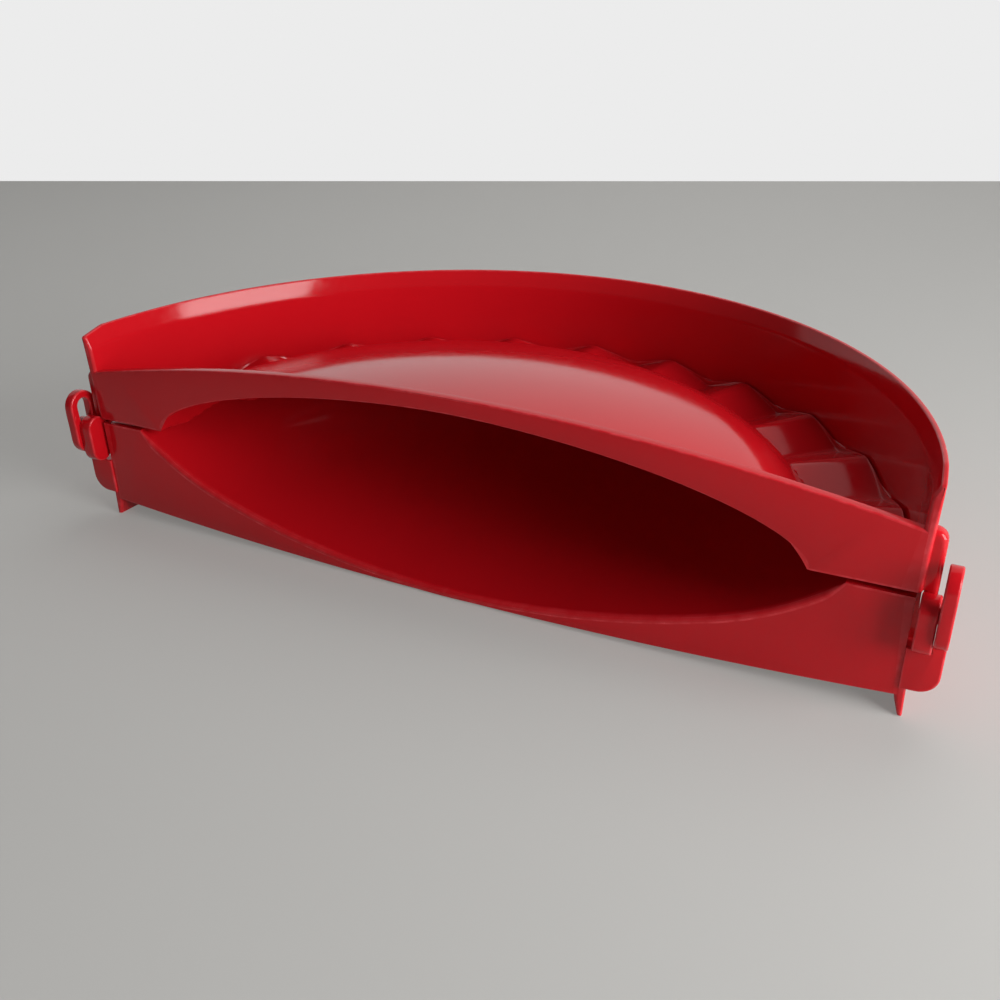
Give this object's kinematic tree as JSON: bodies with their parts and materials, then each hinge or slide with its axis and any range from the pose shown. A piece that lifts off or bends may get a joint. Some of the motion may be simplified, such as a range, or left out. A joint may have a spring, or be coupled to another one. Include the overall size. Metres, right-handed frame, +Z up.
{
  "type": "folding dough press",
  "caption": "Folding half-moon press for filled dough: two hinged moulded halves with cutting rims, shallow bowls and crimping teeth.",
  "frame": {"origin": "under the middle of the closed press, on the plane of the lower cutting rim", "axes": "+X along the hinge, +Y from the hinge side to the round back, +Z up"},
  "size_m": [0.2064, 0.0972, 0.0499],
  "materials": {
    "red_polypropylene": "glossy as moulded"
  },
  "bodies": {
    "lower": {"lower_half": "red_polypropylene"},
    "upper": {"upper_half": "red_polypropylene"}
  },
  "joints": [
    {"name": "fold", "type": "hinge", "parent": "lower", "child": "upper", "pos_m": [0, -0.04462, 0.02495], "axis": [1, 0, 0], "range_deg": [0, 180]}
  ]
}
